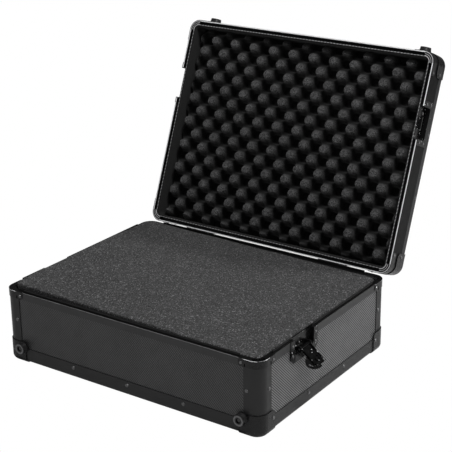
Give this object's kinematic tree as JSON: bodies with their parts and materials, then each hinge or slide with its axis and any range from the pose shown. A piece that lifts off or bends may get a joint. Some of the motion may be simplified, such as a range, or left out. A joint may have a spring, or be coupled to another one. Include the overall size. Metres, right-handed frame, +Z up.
{
  "type": "turntable flight case",
  "caption": "Foam-lined flight case for a record player, open: boards in aluminium profiles, capped corners, hinged lid, recessed twist latches and a swing handle on the back.",
  "frame": {"origin": "middle of the bounding box in plan, at the underside of the bottom corner caps, with the lid open as pictured", "axes": "+X along the hinge line to the case's right end as seen from its front, +Y from the front to the back where the lid hinges, +Z up"},
  "size_m": [0.5892, 0.6106, 0.4995],
  "materials": {
    "board_black": "plywood board faced with black laminate that has a fine diamond grain, satin",
    "profile_black": "black anodised aluminium extrusion, satin",
    "corner_black": "black powder-coated pressed steel, semi-gloss",
    "hardware_black": "black plated steel, semi-gloss with bright worn edges",
    "latch_black": "black nickel plated steel, glossy",
    "rivet_black": "black steel rivet and screw heads, satin",
    "pin_steel": "plain steel pin",
    "foot_rubber": "black rubber, matt",
    "grip_plastic": "black moulded plastic, matt",
    "foam_charcoal": "open-cell charcoal foam, matt and speckled",
    "lining_grey": "thin dark grey felt lining, matt"
  },
  "bodies": {
    "base": {"base_back_board": "board_black", "base_back_bottom_edge": "profile_black", "base_back_rim": "profile_black", "base_corner_caps": "corner_black", "base_corner_posts": "profile_black", "base_feet": "foot_rubber", "base_floor": "board_black", "base_foam": "foam_charcoal", "base_front_board": "board_black", "base_front_bottom_edge": "profile_black", "base_front_rim": "profile_black", "base_left_board": "board_black", "base_left_bottom_edge": "profile_black", "base_left_rim": "profile_black", "base_lining": "lining_grey", "base_right_board": "board_black", "base_right_bottom_edge": "profile_black", "base_right_rim": "profile_black", "base_rim_corners": "corner_black", "base_rivets": "rivet_black", "base_screws": "rivet_black", "handle_surround": "corner_black", "hinge_base_leaf_left": "hardware_black", "hinge_base_leaf_right": "hardware_black", "hinge_pin_left": "pin_steel", "hinge_pin_right": "pin_steel", "latch_dish_left": "hardware_black", "latch_dish_right": "hardware_black", "latch_pin_left": "pin_steel", "latch_pin_right": "pin_steel"},
    "lid": {"hinge_lid_leaf_left": "hardware_black", "hinge_lid_leaf_right": "hardware_black", "latch_keeper_left": "hardware_black", "latch_keeper_right": "hardware_black", "lid_back_edge": "profile_black", "lid_back_frame": "profile_black", "lid_corner_caps": "corner_black", "lid_feet": "foot_rubber", "lid_foam": "foam_charcoal", "lid_front_edge": "profile_black", "lid_front_frame": "profile_black", "lid_left_edge": "profile_black", "lid_left_frame": "profile_black", "lid_lining": "lining_grey", "lid_right_edge": "profile_black", "lid_right_frame": "profile_black", "lid_rim_corners": "corner_black", "lid_rivets": "rivet_black", "lid_screws": "rivet_black", "lid_top": "board_black"},
    "handle": {"handle_grip": "grip_plastic"},
    "latch_arm_right": {"latch_arm_right": "latch_black"},
    "latch_hook_right": {"latch_hook_right": "latch_black"},
    "latch_wings_right": {"latch_wings_right": "latch_black"},
    "latch_arm_left": {"latch_arm_left": "latch_black"},
    "latch_hook_left": {"latch_hook_left": "latch_black"},
    "latch_wings_left": {"latch_wings_left": "latch_black"}
  },
  "joints": [
    {"name": "lid_hinge", "type": "hinge", "parent": "base", "child": "lid", "pos_m": [0, 0.10332, 0.1296], "axis": [1, 0, 0], "range_deg": [0, 112]},
    {"name": "handle_swing", "type": "hinge", "parent": "base", "child": "handle", "pos_m": [0, 0.10632, 0.1041], "axis": [1, 0, 0], "range_deg": [0, 90]},
    {"name": "latch_arm_swing_right", "type": "hinge", "parent": "base", "child": "latch_arm_right", "pos_m": [0.261, -0.17068, 0.1111], "axis": [0, -1, 0], "range_deg": [0, 130]},
    {"name": "latch_twist_right", "type": "hinge", "parent": "latch_arm_right", "child": "latch_wings_right", "pos_m": [0.28092, -0.17068, 0.09439], "axis": [0.6428, 0, 0.766], "range_deg": [-32, 148]},
    {"name": "latch_hook_slide_right", "type": "slide", "parent": "latch_arm_right", "child": "latch_hook_right", "axis": [0.766, 0, -0.6428], "range_m": [-0.0042, 0.001]},
    {"name": "latch_arm_swing_left", "type": "hinge", "parent": "base", "child": "latch_arm_left", "pos_m": [-0.261, -0.17068, 0.1111], "axis": [0, 1, 0], "range_deg": [0, 130]},
    {"name": "latch_twist_left", "type": "hinge", "parent": "latch_arm_left", "child": "latch_wings_left", "pos_m": [-0.28092, -0.17068, 0.09439], "axis": [0.6428, 0, -0.766], "range_deg": [-32, 148]},
    {"name": "latch_hook_slide_left", "type": "slide", "parent": "latch_arm_left", "child": "latch_hook_left", "axis": [-0.766, 0, -0.6428], "range_m": [-0.0042, 0.001]}
  ],
  "couplings": [
    {"joint": "latch_hook_slide_right", "follows": "latch_twist_right", "m_per_rad": -0.0015915},
    {"joint": "latch_hook_slide_left", "follows": "latch_twist_left", "m_per_rad": -0.0015915}
  ]
}
